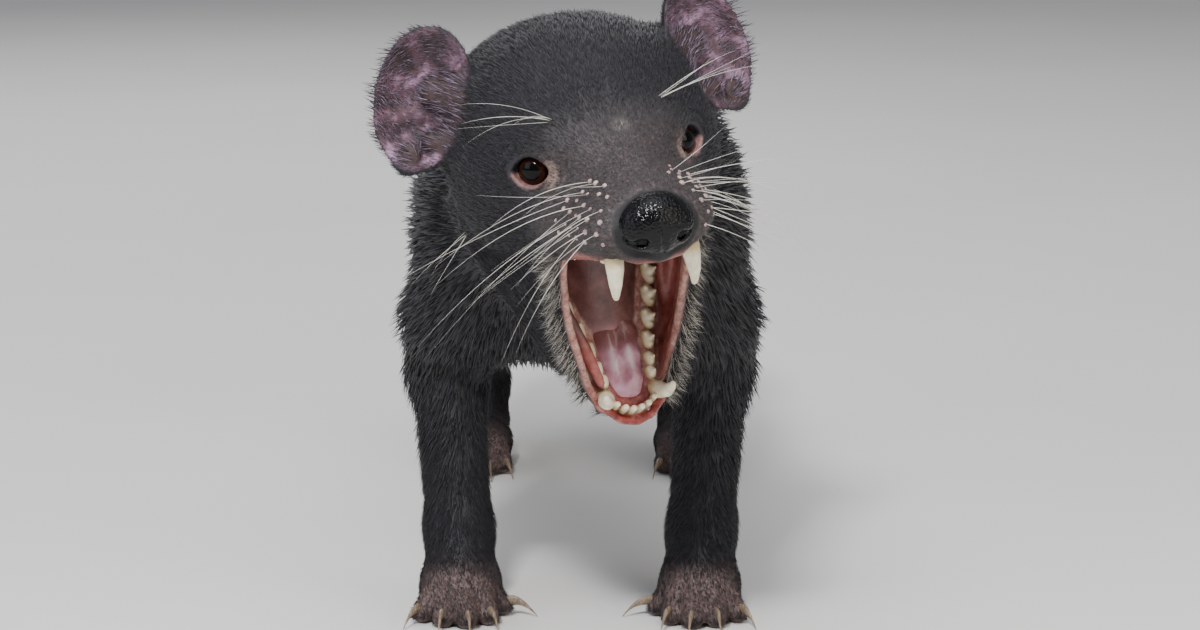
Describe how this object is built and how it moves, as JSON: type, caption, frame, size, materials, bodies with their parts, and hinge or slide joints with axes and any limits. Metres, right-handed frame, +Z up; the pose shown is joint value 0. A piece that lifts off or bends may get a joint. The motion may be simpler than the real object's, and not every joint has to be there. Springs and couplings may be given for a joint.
{
  "type": "tasmanian devil",
  "caption": "Life-size still model of a tasmanian devil standing on all fours with its head turned and its mouth wide open.",
  "frame": {"origin": "centre of the whole animal's bounding box, at floor level under its soles", "axes": "+Z up; the animal faces -Y along its length and its left side is +X"},
  "size_m": [0.1712, 0.7876, 0.2867],
  "materials": {
    "coat": "short dense black fur",
    "ear_skin": "thin bare skin",
    "paw_skin": "thinly haired skin with bare pads",
    "tongue": "wet",
    "nose": "wet pebbled skin",
    "eye": "clear wet gloss",
    "claw": "worn horn"
  },
  "bodies": {
    "root": {"head": "coat", "lower_jaw": "coat", "tongue": "tongue", "nose_pad": "nose", "ear_right": "ear_skin", "eye_right": "eye", "ear_left": "ear_skin", "eye_left": "eye", "neck": "coat", "torso": "coat", "tail": "coat", "fore_leg_right": "coat", "thigh_right": "coat", "hind_leg_right": "coat", "fore_leg_left": "coat", "thigh_left": "coat", "hind_leg_left": "coat", "fore_claw_right_1": "claw", "fore_claw_right_2": "claw", "fore_claw_right_3": "claw", "fore_claw_right_4": "claw", "fore_claw_right_5": "claw", "fore_paw_right": "paw_skin", "hind_claw_right_1": "claw", "hind_claw_right_2": "claw", "hind_claw_right_3": "claw", "hind_claw_right_4": "claw", "hind_paw_right": "paw_skin", "fore_claw_left_1": "claw", "fore_claw_left_2": "claw", "fore_claw_left_3": "claw", "fore_claw_left_4": "claw", "fore_claw_left_5": "claw", "fore_paw_left": "paw_skin", "hind_claw_left_1": "claw", "hind_claw_left_2": "claw", "hind_claw_left_3": "claw", "hind_claw_left_4": "claw", "hind_paw_left": "paw_skin"}
  },
  "joints": []
}
